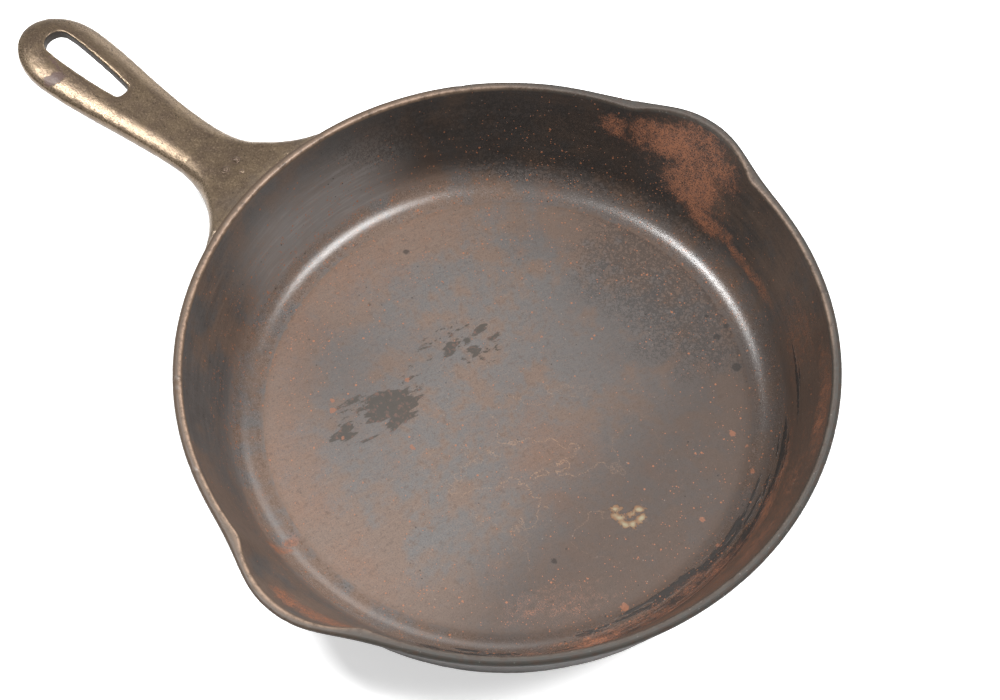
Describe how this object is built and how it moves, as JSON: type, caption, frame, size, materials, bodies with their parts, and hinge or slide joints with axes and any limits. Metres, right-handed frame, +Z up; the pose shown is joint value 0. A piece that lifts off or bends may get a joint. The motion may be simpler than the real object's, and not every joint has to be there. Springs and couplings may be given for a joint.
{
  "type": "cast iron skillet",
  "caption": "Round cast iron frying pan with sloped sides, a pour lip on each side, a heat ring under the base and a flat handle with a teardrop hanging slot.",
  "frame": {"origin": "centre of the pan's base, on the surface that the pan stands on", "axes": "+Z up, +X from the pan's centre along the handle, pour lips facing +Y and -Y"},
  "size_m": [0.3437, 0.2428, 0.0457],
  "materials": {
    "cooking_surface": "seasoned, worn, with light rust specks",
    "wall_iron": "seasoned, dark, with rust and burnt residue",
    "handle_iron": "satin, fine cast grain, bronze-brown patina",
    "outer_iron": "cast grain, dull"
  },
  "bodies": {
    "root": {"pan_floor": "cooking_surface", "heat_ring": "outer_iron", "side_wall_handle_side": "wall_iron", "side_wall_far_side": "wall_iron", "pour_lip_left": "wall_iron", "pour_lip_right": "wall_iron", "handle_root": "handle_iron", "handle_grip": "handle_iron", "casting_mark": "handle_iron"}
  },
  "joints": []
}
